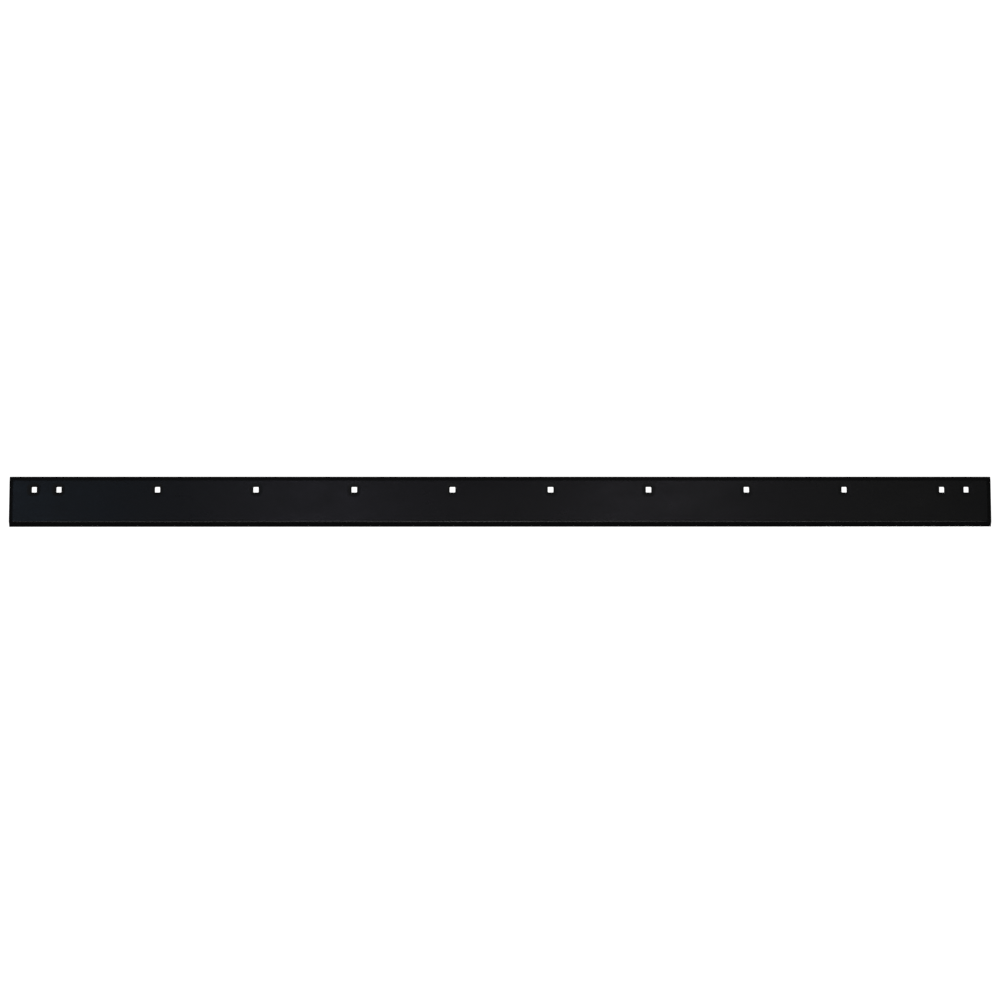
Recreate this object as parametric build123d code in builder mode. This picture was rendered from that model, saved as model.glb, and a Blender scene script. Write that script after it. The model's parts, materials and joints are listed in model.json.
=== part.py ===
from build123d import *

import os

# Replacement wear bar for a 60 in ATV snow plow: one flat steel bar with square bolt holes along its
# top edge and a ground bevel along its bottom edge.
# Frame: X runs along the bar, +Z is up, and the front face, which meets the snow, looks along -Y.
# The origin is on the back face, halfway along the row of bolt holes. All sizes are in millimetres.

INCH = 25.4

# Bar stock
LENGTH = 60 * INCH
HEIGHT = 3.0625 * INCH
THICKNESS = INCH / 4

# Ground bevel on the lower front corner, which leaves a flat land behind it
BEVEL_HEIGHT = 5 / 16 * INCH
LAND_WIDTH = THICKNESS / 2

# Corner radii of the coated section, and of the deburred sawn ends
MILL_CORNER = 0.8
BEVEL_ARRIS = 1.5
LAND_CORNER = 0.5
END_BREAK = 0.4

# Square holes for the necks of 5/16 in carriage bolts
HOLE_SIDE = 11 / 32 * INCH
HOLE_CORNER = 1.2
HOLE_ROW_DROP = 0.8 * INCH
MAIN_PITCH = 6 * INCH
MAIN_HOLES = 10
END_HOLE_INSET = 1.5 * INCH
PUNCH_ROLLOVER = 0.6
PUNCH_EXIT_BREAK = 0.3

# Places worked out from the sizes above
TOP = HOLE_ROW_DROP
BOTTOM = TOP - HEIGHT
FRONT = -THICKNESS
BEVEL_TOP = BOTTOM + BEVEL_HEIGHT
END_HOLE_SPAN = LENGTH - 2 * END_HOLE_INSET

os.makedirs("parts", exist_ok=True)

with BuildPart() as wear_bar:
    # Section of the bar, seen from its end: the back face, the top edge, the front face and the bevel
    with BuildSketch(Plane.YZ):
        with BuildLine():
            FilletPolyline(
                (0, BOTTOM),
                (0, TOP),
                (FRONT, TOP),
                (FRONT, BEVEL_TOP),
                (-LAND_WIDTH, BOTTOM),
                radius=[LAND_CORNER, MILL_CORNER, MILL_CORNER, BEVEL_ARRIS, LAND_CORNER],
                close=True,
            )
        make_face()
    extrude(amount=LENGTH / 2, both=True)

    # The sawn ends, deburred all the way round
    end_faces = wear_bar.faces().filter_by(Axis.X)
    fillet(end_faces.edges(), radius=END_BREAK)

    # The punched holes: a row at an even pitch, and one more hole near each end
    with BuildSketch(Plane.XZ):
        with GridLocations(MAIN_PITCH, 0, MAIN_HOLES, 1):
            RectangleRounded(HOLE_SIDE, HOLE_SIDE, HOLE_CORNER)
        with GridLocations(END_HOLE_SPAN, 0, 2, 1):
            RectangleRounded(HOLE_SIDE, HOLE_SIDE, HOLE_CORNER)
    extrude(amount=THICKNESS, mode=Mode.SUBTRACT)

    # The punch rolls the front rim of each hole over, and leaves a small break at the back rim
    flat_faces = wear_bar.faces().filter_by(Axis.Y).sort_by(Axis.Y)
    front_rims = flat_faces.first.inner_wires().edges()
    back_rims = flat_faces.last.inner_wires().edges()
    fillet(front_rims, radius=PUNCH_ROLLOVER)
    fillet(back_rims, radius=PUNCH_EXIT_BREAK)

wear_bar.part.label = "wear_bar"
export_step(wear_bar.part, "parts/wear_bar.step")
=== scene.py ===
"""Looks for the snow plow wear bar: a finer mesh of the steel bar, its black powder coat, lights and camera.
All lengths are metres in the row frame: X runs along the bar, +Z is up, and the front face looks along -Y."""

import json
import math

import bmesh
import bpy
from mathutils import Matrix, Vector, noise


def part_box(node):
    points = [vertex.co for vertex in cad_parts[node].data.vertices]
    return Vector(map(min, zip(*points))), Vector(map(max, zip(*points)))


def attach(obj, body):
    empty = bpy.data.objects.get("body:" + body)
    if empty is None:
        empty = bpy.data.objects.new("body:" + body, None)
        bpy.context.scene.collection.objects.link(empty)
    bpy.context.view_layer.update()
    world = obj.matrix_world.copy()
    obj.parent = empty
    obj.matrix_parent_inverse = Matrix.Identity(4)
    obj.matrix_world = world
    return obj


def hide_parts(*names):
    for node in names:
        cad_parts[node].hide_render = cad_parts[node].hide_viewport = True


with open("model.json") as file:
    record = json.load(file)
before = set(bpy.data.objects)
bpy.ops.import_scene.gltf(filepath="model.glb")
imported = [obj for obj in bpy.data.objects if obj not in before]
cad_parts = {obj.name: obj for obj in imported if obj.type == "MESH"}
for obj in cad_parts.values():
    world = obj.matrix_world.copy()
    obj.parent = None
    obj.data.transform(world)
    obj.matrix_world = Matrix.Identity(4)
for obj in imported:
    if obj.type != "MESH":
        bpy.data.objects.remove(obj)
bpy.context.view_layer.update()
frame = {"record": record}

MM = 0.001
INCH = 0.0254
QUARTER_TURN = math.pi / 2

# ---------------------------------------------------------------- sizes of the bar

LOW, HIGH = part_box("wear_bar")
FRONT, BACK = LOW.y, HIGH.y
BOTTOM, TOP = LOW.z, HIGH.z
HALF_LENGTH = (HIGH.x - LOW.x) / 2
OPENINGS = frame["record"]["physics"]["openings"]
HOLE_CENTRES = [(o["box_m"][0][0] + o["box_m"][1][0]) / 2 for o in OPENINGS]

# The bevel ground on the lower front corner, and the radii of the corners
BEVEL_HEIGHT = 5 / 16 * INCH
BEVEL_TOP = BOTTOM + BEVEL_HEIGHT
LAND_WIDTH = (BACK - FRONT) / 2
MILL_CORNER = 0.8 * MM
BEVEL_ARRIS = 6.0 * MM
LAND_CORNER = 0.5 * MM
END_BREAK = 0.4 * MM

# The punched square holes. Their walls widen towards the back, from TAPER_START of the way through.
HOLE_HALF = 11 / 64 * INCH
HOLE_CORNER = 1.2 * MM
PUNCH_ROLLOVER = 0.6 * MM
PUNCH_EXIT_BREAK = 0.3 * MM
PUNCH_TAPER = 0.08 * MM
TAPER_START = 0.35

# The shear and the punch both draw the front face down beside their cuts: along the top edge, along the ends
# and round each hole.
SHEAR_DRAW_DEPTH = 1.2 * MM
SHEAR_DRAW_WIDTH = 6.8 * MM
PUNCH_DRAW_DEPTH = 0.44 * MM
PUNCH_DRAW_WIDTH = 6.0 * MM
DRAW_CURVE = 1.4

# How far the real bar strays from a perfect prism: rolling leaves a bow and long gentle waves, and hand
# grinding leaves an uneven arris. Each has a slow and a quick ripple, and the quick one is a share as high.
ROLLED_BOW = 0.10 * MM
ROLLED_WAVE = 0.05 * MM
ROLLED_QUICK_SHARE = 0.5
GRIND_WANDER = 0.07 * MM
GRIND_QUICK_SHARE = 0.4

# The waves are noise, with so many cells per metre along the bar and up it, and a place in the noise. The
# wander of the grinding has only cells per metre along the bar, and a place.
SLOW_WAVE = (7.0, 9.0, 3.1)
QUICK_WAVE = (19.0, 16.0, 8.7)
SLOW_WANDER = (6.0, 1.7)
QUICK_WANDER = (31.0, 5.2)

# ---------------------------------------------------------------- steps of the mesh

# Steps round a section's corner, round half of a hole's corner, along a hole's side and along the bar
ARC_STEPS = 6
HALF_ARC_STEPS = 3
SIDE_STEPS = 4
STATION_STEP = 10 * MM

# The grid leaves out a square collar round each hole. It reaches this far from the hole's centre, and it has
# as many steps on a side as the hole's outline. Loops of points fill it, at these shares of the way in.
COLLAR = 11.6 * MM
COLLAR_STEPS = 2 * HALF_ARC_STEPS + SIDE_STEPS
COLLAR_SHARES = (0.3, 0.65)

# Where the rings of a hole lie: shares of the drawn-down width, then shares of the wall's depth, then how far
# past the break on the back
DISH_SHARES = (1.0, 0.82, 0.64, 0.48, 0.32, 0.16, 0.0)
WALL_SHARES = (0.12, TAPER_START, 0.6, 0.88, 1.0)
BACK_RIM = 0.5 * MM

# What the coat reads on the rolled-over front rim of a hole, on its walls and on the break at its back
ROLLOVER_COAT = {"edge": 0.4, "punched": 0.2, "drawn": 1.0}
WALL_COAT = {"punched": 1.0, "drawn": 1.0}
BREAK_COAT = {"edge": 1.0, "punched": 0.2}

# Distances in from a sheared edge, close together over the drawn-down strip
EDGE_INSETS = [SHEAR_DRAW_WIDTH * share for share in (0.3, 0.42, 0.56, 0.7, 0.85, 1.0, 1.15)]

# Rows of the face between the holes and the bevel, and rows just above the bevel and on it
LOWER_ROW_STEPS = 4
LOWER_ROWS_TOP = -COLLAR - 5 * MM
LOWER_ROWS_END = BEVEL_TOP + 6 * MM
ROWS_ABOVE_BEVEL = (3.5 * MM, 2 * MM)
BEVEL_SHARES = (0.08, 0.35, 0.65, 0.92)


def levels_between(start, end, steps):
    return [start + (end - start) * i / steps for i in range(steps + 1)]


# Heights of the flat face's rows of points, from the top corner down to just above the bevel. The rows level
# with the holes match their collars.
FACE_LEVELS = (
    [TOP - inset for inset in EDGE_INSETS]
    + levels_between(COLLAR, -COLLAR, COLLAR_STEPS)
    + levels_between(LOWER_ROWS_TOP, LOWER_ROWS_END, LOWER_ROW_STEPS)
    + [BEVEL_TOP + rise for rise in ROWS_ABOVE_BEVEL]
)

# Points of a section, counted from its top: level with the top and the bottom of a collar, then the first of
# the arris, of the bevel and of the land corner
COLLAR_TOP = ARC_STEPS + 1 + len(EDGE_INSETS)
COLLAR_BOTTOM = COLLAR_TOP + COLLAR_STEPS
ARRIS_START = ARC_STEPS + 1 + len(FACE_LEVELS)
BEVEL_START = ARRIS_START + ARC_STEPS + 1
LAND_START = BEVEL_START + len(BEVEL_SHARES)

# How much the larger faces count in the normals of the points that they share, where 50 is neutral
NORMAL_WEIGHT = 80


# ---------------------------------------------------------------- section of the bar


def arc(centre, radius, start, end):
    """Points (y, z) and outward normals along an arc, with angles in radians."""
    points = []
    for i in range(ARC_STEPS + 1):
        a = start + (end - start) * i / ARC_STEPS
        normal = (math.cos(a), math.sin(a))
        points.append((centre[0] + radius * normal[0], centre[1] + radius * normal[1], *normal))
    return points


def draw_down(distance, depth, width):
    """How far back the front face lies at a distance from a cut that draws it down by depth over width."""
    share = max(0.0, 1 - distance / width)
    return depth * share**DRAW_CURVE


def front_and_back(wander):
    """The section from top to bottom as matching points of its front and back, each (y, z) and its normal.
    wander moves the ground bevel along its normal."""
    bevel_depth = BACK - LAND_WIDTH - FRONT
    slope = math.atan2(bevel_depth, BEVEL_HEIGHT)
    bevel_normal = (-math.cos(slope), -math.sin(slope))
    arris_z = BEVEL_TOP + wander / math.sin(slope)
    land_y = -LAND_WIDTH + wander / math.cos(slope)
    arris_run = BEVEL_ARRIS * math.tan(slope / 2)
    land_run = LAND_CORNER * math.tan((QUARTER_TURN - slope) / 2)
    up, ahead, down = QUARTER_TURN, 2 * QUARTER_TURN, 3 * QUARTER_TURN

    # The front: top corner, flat face, arris, bevel and land corner
    top_front = arc((FRONT + MILL_CORNER, TOP - MILL_CORNER), MILL_CORNER, up, ahead)
    flat = [(FRONT, z, -1, 0) for z in FACE_LEVELS]
    arris = arc((FRONT + BEVEL_ARRIS, arris_z + arris_run), BEVEL_ARRIS, ahead, ahead + slope)
    land = arc((land_y + land_run, BOTTOM + LAND_CORNER), LAND_CORNER, ahead + slope, down)
    first, last = arris[-1], land[0]
    bevel = [
        (first[0] + (last[0] - first[0]) * share, first[1] + (last[1] - first[1]) * share, *bevel_normal)
        for share in BEVEL_SHARES
    ]

    # The back: as many points, level with those of the front
    top_back = arc((BACK - MILL_CORNER, TOP - MILL_CORNER), MILL_CORNER, up, 0)
    flat_back = [(BACK, z, 1, 0) for z in FACE_LEVELS]
    behind = [(BACK, p[1], 1, 0) for p in arris + bevel]
    heel = arc((BACK - LAND_CORNER, BOTTOM + LAND_CORNER), LAND_CORNER, 0, -QUARTER_TURN)
    return top_front + flat + arris + bevel + land, top_back + flat_back + behind + heel


def wave(x, z):
    """How far the rolled bar stands off its true plane at a point: a bow along it, and ripples."""
    bow = ROLLED_BOW * (1 - 2 * (x / HALF_LENGTH) ** 2) / 2
    ripples = []
    for along, upward, place in (SLOW_WAVE, QUICK_WAVE):
        ripples.append(noise.noise(Vector((x * along, z * upward, place))))
    slow, quick = ripples
    return bow + ROLLED_WAVE * (slow + ROLLED_QUICK_SHARE * quick)


def grind_wander(x):
    """How far the ground bevel strays at a place along the bar."""
    ripples = []
    for along, place in (SLOW_WANDER, QUICK_WANDER):
        ripples.append(noise.noise(Vector((x * along, place, 0.0))))
    slow, quick = ripples
    return GRIND_WANDER * (slow + GRIND_QUICK_SHARE * quick)


# ---------------------------------------------------------------- mesh of the bar


def stations():
    """Places along the bar, each (x, inset of the section), with the index of each hole's first station."""
    near_end = [HALF_LENGTH - inset for inset in EDGE_INSETS]
    stops = [-x for x in near_end]
    hole_starts = []

    def stride_to(x):
        """Adds even strides from the last stop to x."""
        start = stops[-1]
        gap = x - start
        count = max(1, math.ceil(gap / STATION_STEP))
        stops.extend([start + gap * i / count for i in range(1, count + 1)])

    for centre in sorted(HOLE_CENTRES):
        stride_to(centre - COLLAR)
        hole_starts.append(len(stops) - 1)
        stops += levels_between(centre - COLLAR, centre + COLLAR, COLLAR_STEPS)[1:]
    stride_to(near_end[-1])
    stops += near_end[-2::-1]

    rounding = []
    for i in range(ARC_STEPS + 1):
        a = QUARTER_TURN * i / ARC_STEPS
        rounding.append((HALF_LENGTH - END_BREAK + END_BREAK * math.sin(a), END_BREAK * (1 - math.cos(a))))
    left = [(-x, inset) for x, inset in reversed(rounding)]
    places = left + [(x, 0.0) for x in stops] + rounding
    return places, [len(left) + i for i in hole_starts]


def outline(offset):
    """Points (x, z) of a hole's rounded square, grown by offset, anticlockwise from its lower left corner."""
    reach = HOLE_HALF - HOLE_CORNER
    radius = HOLE_CORNER + offset
    half_corner = math.radians(45)
    lower_left, down = math.radians(225), math.radians(270)
    side = []
    for i in range(HALF_ARC_STEPS):
        a = lower_left + half_corner * i / HALF_ARC_STEPS
        side.append((-reach + radius * math.cos(a), -reach + radius * math.sin(a)))
    for i in range(SIDE_STEPS):
        side.append((-reach + 2 * reach * i / SIDE_STEPS, -reach - radius))
    for i in range(HALF_ARC_STEPS):
        a = down + half_corner * i / HALF_ARC_STEPS
        side.append((reach + radius * math.cos(a), -reach + radius * math.sin(a)))
    points = []
    for turn in ((1, 0), (0, 1), (-1, 0), (0, -1)):
        points += [(x * turn[0] - z * turn[1], x * turn[1] + z * turn[0]) for x, z in side]
    return points


def hole_rings():
    """Rings of one punched hole from front to back, each (offset, y, values that the coat reads)."""
    rings = []
    for share in DISH_SHARES:
        distance = PUNCH_DRAW_WIDTH * share
        y = FRONT + draw_down(distance, PUNCH_DRAW_DEPTH, PUNCH_DRAW_WIDTH)
        rings.append((PUNCH_ROLLOVER + distance, y, {"drawn": 1 - share}))
    rim = FRONT + PUNCH_DRAW_DEPTH
    for i in range(1, ARC_STEPS + 1):
        a = QUARTER_TURN * i / ARC_STEPS
        offset = PUNCH_ROLLOVER * (1 - math.sin(a))
        y = rim + PUNCH_ROLLOVER * (1 - math.cos(a))
        rings.append((offset, y, ROLLOVER_COAT))
    wall_top, wall_end = rim + PUNCH_ROLLOVER, BACK - PUNCH_EXIT_BREAK
    for share in WALL_SHARES:
        taper = PUNCH_TAPER * max(0.0, share - TAPER_START) / (1 - TAPER_START)
        rings.append((taper, wall_top + (wall_end - wall_top) * share, WALL_COAT))
    for i in range(1, ARC_STEPS + 1):
        a = QUARTER_TURN * i / ARC_STEPS
        offset = PUNCH_TAPER + PUNCH_EXIT_BREAK * (1 - math.cos(a))
        rings.append((offset, wall_end + PUNCH_EXIT_BREAK * math.sin(a), BREAK_COAT))
    rings.append((PUNCH_TAPER + PUNCH_EXIT_BREAK + BACK_RIM, BACK, {}))
    rings.append((PUNCH_ROLLOVER + PUNCH_DRAW_WIDTH, BACK, {}))
    return rings


class BarMesh:
    """Collects the bar's points and faces. The coat reads four values of each point: edge is 1 on rounded
    corners, ground is 1 on the bevel, punched is 1 on the walls of the holes, and drawn rises to 1 at the
    front rims of the holes and stays 1 on their walls."""

    def __init__(self):
        self.bm = bmesh.new()
        new_layer = self.bm.verts.layers.float.new
        self.layers = {name: new_layer(name) for name in ("edge", "ground", "punched", "drawn")}
        self.places, self.hole_starts = stations()
        self.sections = [front_and_back(grind_wander(x)) for x, _ in self.places]
        self.made = {}

    def point(self, x, y, z, **values):
        v = self.bm.verts.new((x, y + wave(x, z), z))
        for name, value in values.items():
            v[self.layers[name]] = value
        return v

    def face(self, corners, turned=False):
        """A face through corners that run anticlockwise seen from outside, or clockwise if it is turned."""
        self.bm.faces.new(corners[::-1] if turned else corners)

    def grid(self, side, i, j):
        """The point at station i and section point j, on side 0 (front) or 1 (back)."""
        key = (side, i, j)
        if key not in self.made:
            x, inset = self.places[i]
            y, z, ny, nz = self.sections[i][side][j]
            if side == 0:
                for distance in (HALF_LENGTH - abs(x), TOP - z):
                    y += draw_down(distance, SHEAR_DRAW_DEPTH, SHEAR_DRAW_WIDTH)
            on_arris = side == 0 and ARRIS_START <= j < BEVEL_START
            on_corner = j <= ARC_STEPS or j >= LAND_START or on_arris
            ground = 1.0 if side == 0 and j >= BEVEL_START else 0.0
            edge = 1.0 if on_corner or inset > 0 else 0.0
            self.made[key] = self.point(x, y - inset * ny, z - inset * nz, edge=edge, ground=ground)
        return self.made[key]

    def rim_face(self, start, end, turned):
        """A face through the bar's thickness, between two neighbouring places on the grid's rim."""
        front = [self.grid(0, *start), self.grid(0, *end)]
        back = [self.grid(1, *end), self.grid(1, *start)]
        self.face(front + back, turned)

    def skin(self):
        """The front, back, top, bottom and end faces, leaving out a square collar round each hole."""
        columns, rows = len(self.places) - 1, len(self.sections[0][0]) - 1
        holes = {i + k for i in self.hole_starts for k in range(COLLAR_STEPS)}
        for i in range(columns):
            for j in range(rows):
                if i in holes and COLLAR_TOP <= j < COLLAR_BOTTOM:
                    continue
                corners = [(i, j + 1), (i + 1, j + 1), (i + 1, j), (i, j)]
                for side in (0, 1):
                    self.face([self.grid(side, *c) for c in corners], turned=side == 1)
            self.rim_face((i, 0), (i + 1, 0), turned=False)
            self.rim_face((i, rows), (i + 1, rows), turned=True)
        for i, turned in ((0, True), (columns, False)):
            for j in range(rows):
                self.rim_face((i, j), (i, j + 1), turned)

    def collar_loop(self, side, start):
        """The grid points round one hole's collar, anticlockwise from the lower left, seen from the front."""
        end, top, bottom = start + COLLAR_STEPS, COLLAR_TOP, COLLAR_BOTTOM
        steps = range(COLLAR_STEPS)
        loop = [(start + k, bottom) for k in steps]
        loop += [(end, bottom - k) for k in steps]
        loop += [(end - k, top) for k in steps]
        loop += [(start, top + k) for k in steps]
        return [self.grid(side, i, j) for i, j in loop]

    def hole(self, start):
        """One punched hole: rings of faces from its front collar through its walls to its back collar."""
        x = (self.places[start][0] + self.places[start + COLLAR_STEPS][0]) / 2
        front, back = self.collar_loop(0, start), self.collar_loop(1, start)
        square = [(v.co.x - x, v.co.z) for v in front]
        rings = hole_rings()
        first, last = outline(rings[0][0]), outline(rings[-1][0])
        loops = [front]
        for share in COLLAR_SHARES:
            loops.append(self.blend(x, square, first, share, FRONT))
        for offset, y, values in rings:
            loops.append([self.point(x + u, y, w, **values) for u, w in outline(offset)])
        for share in reversed(COLLAR_SHARES):
            loops.append(self.blend(x, square, last, share, BACK))
        loops.append(back)
        count = len(front)
        for outer, inner in zip(loops, loops[1:]):
            for k in range(count):
                n = (k + 1) % count
                self.face([outer[k], outer[n], inner[n], inner[k]])

    def blend(self, x, square, ring, share, y):
        """A loop of points partway from the square collar to a ring."""
        points = []
        for (u0, w0), (u1, w1) in zip(square, ring):
            points.append(self.point(x + u0 + (u1 - u0) * share, y, w0 + (w1 - w0) * share))
        return points

    def finish(self, name):
        mesh = bpy.data.meshes.new(name)
        self.bm.normal_update()
        self.bm.to_mesh(mesh)
        self.bm.free()
        mesh.shade_smooth()
        return mesh


def coated_bar(material):
    """The bar as one closed mesh, with normals weighted by area, so that flats stay flat beside corners."""
    work = BarMesh()
    work.skin()
    for start in work.hole_starts:
        work.hole(start)
    bar = bpy.data.objects.new("wear_bar_coated", work.finish("wear_bar_coated"))
    bpy.context.scene.collection.objects.link(bar)
    bar.data.materials.append(material)
    weighted = bar.modifiers.new("flat_faces", "WEIGHTED_NORMAL")
    weighted.weight = NORMAL_WEIGHT
    weighted.keep_sharp = False
    return bar


# ---------------------------------------------------------------- material

# Colours of the coat: its body in cool and plain patches, the fine mottle on it, and the bloom on the corners
COOL_BLACK = (0.0015, 0.0015, 0.0018, 1)
PLAIN_BLACK = (0.0019, 0.0019, 0.0019, 1)
MOTTLE_BLACK = (0.0027, 0.0027, 0.0029, 1)
BLOOM_GREY = (0.0040, 0.0040, 0.0042, 1)

# Roughness of the coat: its cloudy range, the fine change on top of it, how much smoother it is where rubbed,
# how much more the ground bevel is rubbed than a corner, and how much drier it is at the rims of the holes
SATIN = (0.28, 0.34)
FINE_SATIN = 0.02
RUBBED_SMOOTH = 0.10
GROUND_RUBBING = 1.6
RIM_DRYNESS = 0.35
COAT_IOR = 1.5

# Heights of the relief
ROLLED_RELIEF = 0.030 * MM
GRIND_RELIEF = 0.030 * MM
DRAG_RELIEF = 0.035 * MM
PEEL_RELIEF = 0.012 * MM
GRAIN_RELIEF = 0.002 * MM


class Nodes:
    """Short names for the node tree calls that a material uses."""

    def __init__(self, tree):
        self.tree = tree

    def add(self, kind, values=None, **settings):
        node = self.tree.nodes.new(kind)
        for name, value in settings.items():
            setattr(node, name, value)
        for name, value in (values or {}).items():
            self.put(node.inputs[name], value)
        return node

    def put(self, socket, value):
        if isinstance(value, bpy.types.NodeSocket):
            self.tree.links.new(value, socket)
        else:
            socket.default_value = value

    def noise(self, where, scale, detail, roughness=0.5):
        values = {"Vector": where, "Scale": scale, "Detail": detail, "Roughness": roughness}
        return self.add("ShaderNodeTexNoise", values).outputs["Fac"]

    def maths(self, operation, a, b, clamp=False):
        node = self.add("ShaderNodeMath", operation=operation, use_clamp=clamp)
        self.put(node.inputs[0], a)
        self.put(node.inputs[1], b)
        return node.outputs[0]

    def remap(self, value, low, high, to_low, to_high):
        """The value, moved from the range low to high into the range to_low to to_high."""
        values = {"Value": value, "From Min": low, "From Max": high, "To Min": to_low, "To Max": to_high}
        return self.add("ShaderNodeMapRange", values).outputs["Result"]

    def mix(self, share, a, b):
        node = self.add("ShaderNodeMix", data_type="RGBA")
        self.put(node.inputs["Factor"], share)
        self.put(node.inputs["A"], a)
        self.put(node.inputs["B"], b)
        return node.outputs["Result"]

    def attribute(self, name):
        return self.add("ShaderNodeAttribute", attribute_name=name).outputs["Fac"]

    def stretched(self, where, scale):
        return self.add("ShaderNodeMapping", {"Vector": where, "Scale": scale}).outputs["Vector"]

    def bump(self, height, distance, below=None):
        values = {"Height": height, "Distance": distance, "Strength": 1.0}
        if below is not None:
            values["Normal"] = below
        return self.add("ShaderNodeBump", values).outputs["Normal"]


def powder_coat():
    """Satin black powder coat on hot-rolled steel: orange peel, faint mottling, thin on the corners. The
    grinding of the bevel and the drag lines of the punched holes just show through."""
    material = bpy.data.materials.new("black_powder_coat")
    material.use_nodes = True
    tree = material.node_tree
    n = Nodes(tree)
    coat = tree.nodes["Principled BSDF"]
    where = n.add("ShaderNodeTexCoord").outputs["Object"]

    # Colour: near black, cooler in broad patches, with a fine mottle and a greyer bloom on the corners
    patches = n.remap(n.noise(where, scale=5.5, detail=2.0), 0.35, 0.65, 0.0, 1.0)
    mottle = n.remap(n.noise(where, scale=160.0, detail=3.0), 0.3, 0.8, 0.0, 0.45)
    bloom = n.remap(n.noise(where, scale=70.0, detail=3.0), 0.3, 0.7, 0.2, 0.7)
    body = n.mix(mottle, n.mix(patches, COOL_BLACK, PLAIN_BLACK), MOTTLE_BLACK)
    edge = n.maths("MULTIPLY", n.attribute("edge"), bloom)
    n.put(coat.inputs["Base Color"], n.mix(edge, body, BLOOM_GREY))

    # Roughness: satin with faint cloudy handling marks, smoother where rubbed, drier at the rims of the holes
    clouds = n.noise(n.stretched(where, (1.0, 1.0, 2.2)), scale=14.0, detail=4.0, roughness=0.6)
    fine = n.noise(where, scale=900.0, detail=2.0)
    satin = n.remap(clouds, 0.3, 0.7, *SATIN)
    satin = n.maths("ADD", satin, n.remap(fine, 0.3, 0.7, -FINE_SATIN, FINE_SATIN))
    ground_rubbing = n.maths("MULTIPLY", n.attribute("ground"), GROUND_RUBBING)
    rubbed = n.maths("MAXIMUM", n.attribute("edge"), ground_rubbing)
    satin = n.maths("SUBTRACT", satin, n.maths("MULTIPLY", rubbed, RUBBED_SMOOTH))
    dry = n.maths("MULTIPLY", n.attribute("drawn"), RIM_DRYNESS)
    n.put(coat.inputs["Roughness"], n.maths("ADD", satin, dry, clamp=True))

    # Relief: rolled surface, grinding, drag lines, orange peel and grain, from the widest to the finest
    rolled = n.bump(n.noise(where, scale=45.0, detail=2.0), ROLLED_RELIEF)
    strokes = n.noise(n.stretched(where, (1.0, 0.06, 0.06)), scale=1500.0, detail=3.0, roughness=0.65)
    ground = n.bump(n.maths("MULTIPLY", strokes, n.attribute("ground")), GRIND_RELIEF, rolled)
    drag = n.noise(n.stretched(where, (1.0, 0.05, 1.0)), scale=2600.0, detail=2.0, roughness=0.6)
    punched = n.bump(n.maths("MULTIPLY", drag, n.attribute("punched")), DRAG_RELIEF, ground)
    peel = n.bump(n.noise(where, scale=520.0, detail=2.0, roughness=0.45), PEEL_RELIEF, punched)
    grain = n.bump(n.noise(where, scale=2400.0, detail=2.0), GRAIN_RELIEF, peel)
    n.put(coat.inputs["Normal"], grain)
    coat.inputs["IOR"].default_value = COAT_IOR
    return material


# ---------------------------------------------------------------- studio

BAR_CENTRE = Vector((0, FRONT, (TOP + BOTTOM) / 2))
FLOOR_LEVEL = -0.62
FLOOR_SIZE = 60.0
PALE = (0.92, 0.92, 0.92, 1)

# How bright the surroundings are where they light the bar, and where its coat mirrors them
ROOM_BRIGHTNESS = 1.15
MIRRORED_BRIGHTNESS = 0.02

# The front lights stand in a row, at the same y and z. The low lights lie just above the floor.
FRONT_ROW = (-2.75, 0.20)
FRONT_ROW_TALL = 0.50
LOW_ROW_Y = -1.4
LOW_ROW_TALL = 0.10

WHITE = (1, 1, 1)
COOL_WHITE = (0.96, 0.93, 1.17)
LILAC_WHITE = (1.0, 0.96, 1.12)
PALE_BLUE = (0.62, 0.88, 1.25)


def floor():
    """A plain pale floor far below the bar."""
    bpy.ops.mesh.primitive_plane_add(size=FLOOR_SIZE, location=(0, 0, FLOOR_LEVEL))
    plane = bpy.context.object
    plane.name = "floor"
    material = bpy.data.materials.new("pale_floor")
    material.use_nodes = True
    paint = material.node_tree.nodes["Principled BSDF"]
    paint.inputs["Base Color"].default_value = PALE
    paint.inputs["Roughness"].default_value = 0.9
    paint.inputs["Specular IOR Level"].default_value = 0.0
    plane.data.materials.append(material)
    plane.visible_glossy = False


def white_room():
    """White all round, but dim where the coat mirrors it, as a dark studio behind white screens would be."""
    world = bpy.data.worlds.new("white_room")
    bpy.context.scene.world = world
    world.use_nodes = True
    n = Nodes(world.node_tree)
    white = world.node_tree.nodes["Background"]
    white.inputs["Color"].default_value = (*WHITE, 1)
    glossy = n.add("ShaderNodeLightPath").outputs["Is Glossy Ray"]
    n.put(white.inputs["Strength"], n.remap(glossy, 0.0, 1.0, ROOM_BRIGHTNESS, MIRRORED_BRIGHTNESS))


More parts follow.
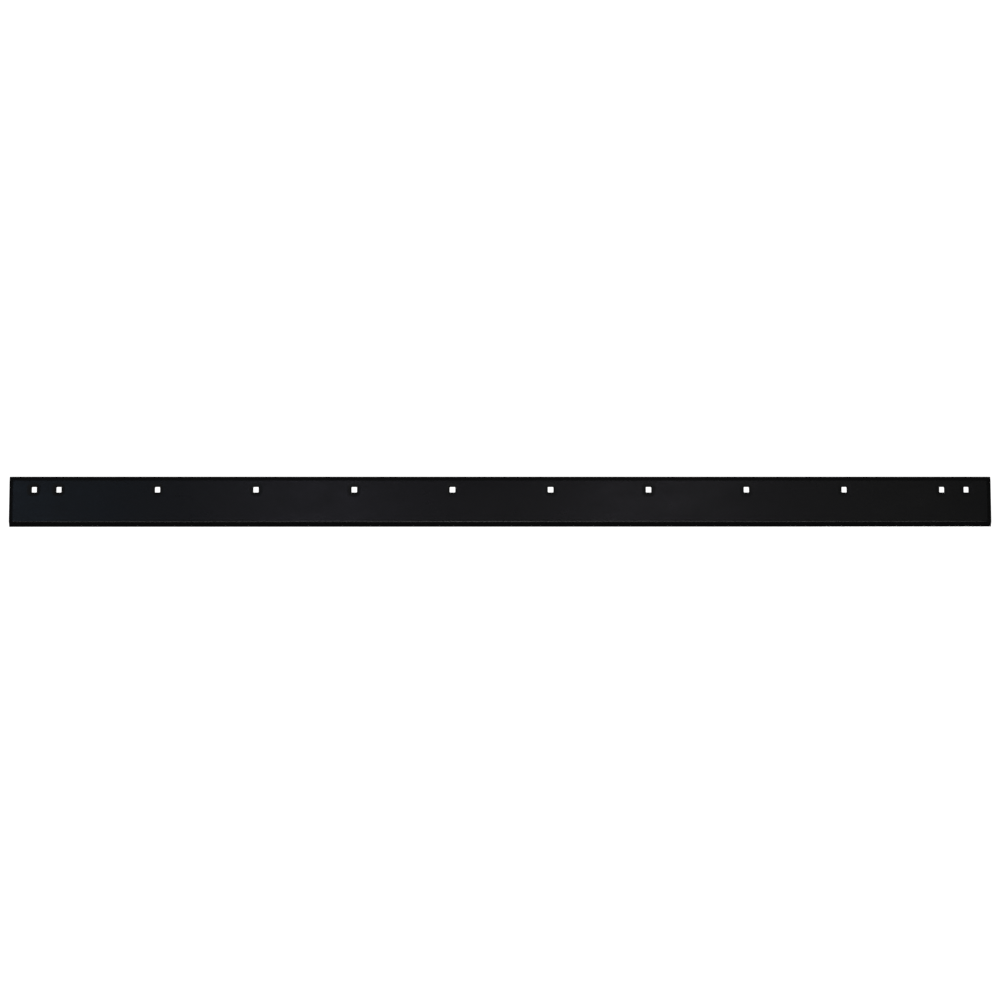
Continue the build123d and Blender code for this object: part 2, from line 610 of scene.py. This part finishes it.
def softbox(name, place, width, tall, power, tint=WHITE):
    """A rectangular area light of some watts at place, aimed at the middle of the bar's front."""
    light = bpy.data.lights.new(name, "AREA")
    light.shape = "RECTANGLE"
    light.size, light.size_y = width, tall
    light.energy = power
    light.color = tint
    lamp = bpy.data.objects.new(name, light)
    lamp.location = place
    lamp.visible_camera = False
    lamp.rotation_euler = (BAR_CENTRE - Vector(place)).to_track_quat("-Z", "Z").to_euler()
    bpy.context.scene.collection.objects.link(lamp)


def front_light(name, x, width, power, tint=WHITE):
    softbox(name, (x, *FRONT_ROW), width, FRONT_ROW_TALL, power, tint)


def low_light(name, x, z, width, power):
    softbox(name, (x, LOW_ROW_Y, z), width, LOW_ROW_TALL, power)


def camera(place, yaw, tilt, roll, lens):
    """Almost square on to the front face, from a little below. Angles are in degrees, the lens in mm."""
    data = bpy.data.cameras.new("camera")
    data.lens = lens
    view = bpy.data.objects.new("camera", data)
    view.location = place
    view.rotation_euler = (math.radians(90 + tilt), math.radians(roll), math.radians(yaw))
    bpy.context.scene.collection.objects.link(view)
    bpy.context.scene.camera = view


def studio():
    """The surroundings, the lights and the camera."""
    floor()
    white_room()
    front_light("front_left", -0.56, 0.25, 0.70, COOL_WHITE)
    front_light("front_right", 0.52, 0.25, 0.74, LILAC_WHITE)
    front_light("far_left", -1.65, 0.6, 0.78, PALE_BLUE)
    front_light("far_right", 1.35, 0.6, 0.30)
    low_light("low_strip", 0.0, -0.58, 2.4, 2.8)
    low_light("low_middle", -0.02, -0.56, 0.2, 0.35)
    softbox("overhead", (0.2, 0.5, 1.5), 2.4, 0.8, 6)
    softbox("back_left", (-1.6, 1.8, 0.9), 1.0, 1.0, 9)
    softbox("back_right", (1.5, 2.2, -0.2), 1.4, 0.6, 10)
    camera((-0.027, -2.46, -0.177), yaw=-0.57, tilt=3.75, roll=0.045, lens=57.07)
    settings = bpy.context.scene.view_settings
    settings.view_transform = "Standard"
    settings.look = "None"


# ---------------------------------------------------------------- scene

bar = coated_bar(powder_coat())
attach(bar, "root")
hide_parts("wear_bar")
studio()
